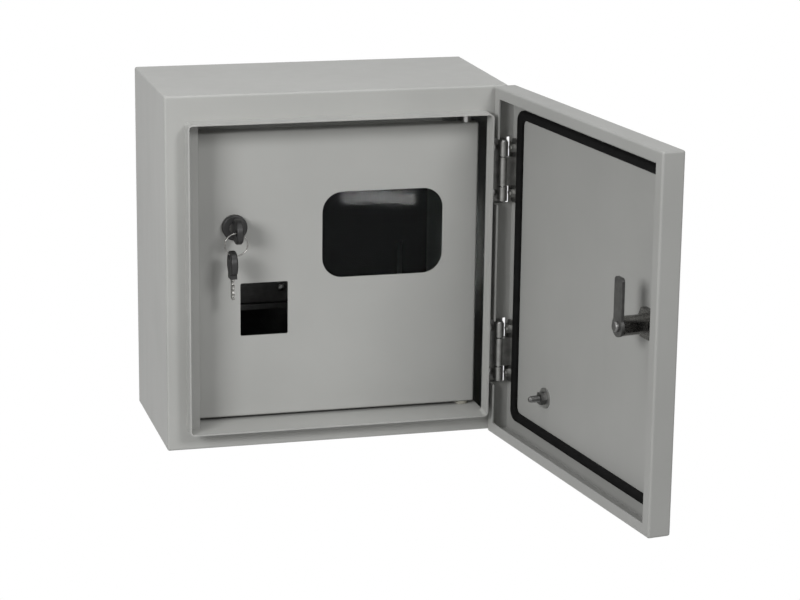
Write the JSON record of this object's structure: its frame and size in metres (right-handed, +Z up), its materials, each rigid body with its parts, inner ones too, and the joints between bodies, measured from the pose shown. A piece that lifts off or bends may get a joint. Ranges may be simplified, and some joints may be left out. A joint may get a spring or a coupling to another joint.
{
  "type": "electric meter box",
  "caption": "Wall-mounted sheet-steel meter box with a hinged outer door standing open and a recessed inner door that has a meter window, a breaker cut-out and a cam lock with its keys.",
  "frame": {"origin": "centre of the wall-fixing holes, on the wall face of the body", "axes": "+Z up, +Y into the wall, +X to the right for someone who looks at the front"},
  "size_m": [0.3475, 0.4509, 0.3235],
  "materials": {
    "body_paint": "light grey powder coat, fine texture",
    "frame_paint": "light grey powder coat, fine texture",
    "outer_door_paint": "light grey powder coat, fine texture",
    "inner_door_paint": "light grey powder coat, fine texture",
    "board_black": "matte black insulating board",
    "zinc_steel": "zinc plated",
    "rail_steel": "zinc plated, dull",
    "retainer_steel": "dark grey coat",
    "hinge_metal": "cast zinc, tumbled",
    "lock_metal": "nickel plated",
    "cam_steel": "zinc plated, darkened",
    "key_metal": "nickel plated",
    "key_black": "black moulded plastic, satin",
    "lock_black": "black, satin",
    "gasket_rubber": "black foam, matte",
    "grommet_rubber": "black rubber, matte",
    "window_clear": "clear, polished",
    "washer_plastic": "natural nylon",
    "earth_brass": "plain brass"
  },
  "bodies": {
    "box": {"body_shell": "body_paint", "inner_frame": "frame_paint", "meter_board": "board_black", "board_standoffs": "zinc_steel", "board_screws": "zinc_steel", "din_rail": "rail_steel", "left_rail_bracket": "rail_steel", "right_rail_bracket": "rail_steel", "rail_screws": "zinc_steel", "bracket_screws": "zinc_steel", "left_cable_grommet": "grommet_rubber", "middle_cable_grommet": "grommet_rubber", "right_cable_grommet": "grommet_rubber", "body_earth_stud": "earth_brass", "body_earth_washer": "zinc_steel", "body_earth_nut": "earth_brass", "upper_hinge_frame_leaf": "hinge_metal", "lower_hinge_frame_leaf": "hinge_metal", "upper_hinge_pin": "zinc_steel", "lower_hinge_pin": "zinc_steel", "hinge_screws": "zinc_steel", "hinge_nuts": "zinc_steel"},
    "outer_door": {"outer_door": "outer_door_paint", "door_gasket": "gasket_rubber", "upper_hinge_door_leaf": "hinge_metal", "lower_hinge_door_leaf": "hinge_metal", "door_hinge_studs": "zinc_steel", "door_hinge_nuts": "zinc_steel", "door_earth_stud": "cam_steel", "door_earth_washer": "zinc_steel", "door_earth_nut": "cam_steel", "outer_lock_barrel": "lock_metal", "outer_lock_nut": "lock_metal"},
    "outer_lock": {"outer_lock_plug": "lock_metal", "outer_lock_cam": "cam_steel", "outer_lock_cam_screw": "cam_steel"},
    "inner_door": {"inner_door": "inner_door_paint", "upper_pivot_pin": "zinc_steel", "lower_pivot_pin": "zinc_steel", "pivot_washers": "washer_plastic", "window_pane": "window_clear", "window_retainer": "retainer_steel", "window_studs": "zinc_steel", "window_nuts": "zinc_steel", "inner_lock_barrel": "lock_black", "inner_lock_nut": "zinc_steel"},
    "inner_lock": {"inner_lock_plug": "lock_metal", "inner_lock_cam": "cam_steel", "inner_lock_cam_screw": "cam_steel", "lock_key": "key_metal", "lock_key_head": "key_black"},
    "key_ring": {"key_ring": "key_metal", "spare_key": "key_metal", "spare_key_head": "key_black"}
  },
  "joints": [
    {"name": "outer_door_swing", "type": "hinge", "parent": "box", "child": "outer_door", "pos_m": [0.144, -0.159, 0], "axis": [0, 0, 1], "range_deg": [-98, 10]},
    {"name": "outer_lock_turn", "type": "hinge", "parent": "outer_door", "child": "outer_lock", "pos_m": [0.17879, -0.40657, 0.008], "axis": [-0.9903, -0.1392, 0], "range_deg": [-90, 0]},
    {"name": "inner_door_swing", "type": "hinge", "parent": "box", "child": "inner_door", "pos_m": [0.1205, -0.124, 0], "axis": [0, 0, 1], "range_deg": [0, 90]},
    {"name": "inner_lock_turn", "type": "hinge", "parent": "inner_door", "child": "inner_lock", "pos_m": [-0.087, -0.124, 0.036], "axis": [0, 1, 0], "range_deg": [-90, 0]},
    {"name": "key_ring_swing", "type": "hinge", "parent": "inner_lock", "child": "key_ring", "pos_m": [-0.087, -0.154, 0.03571], "axis": [-1, 0, 0], "range_deg": [-15, 60]}
  ]
}
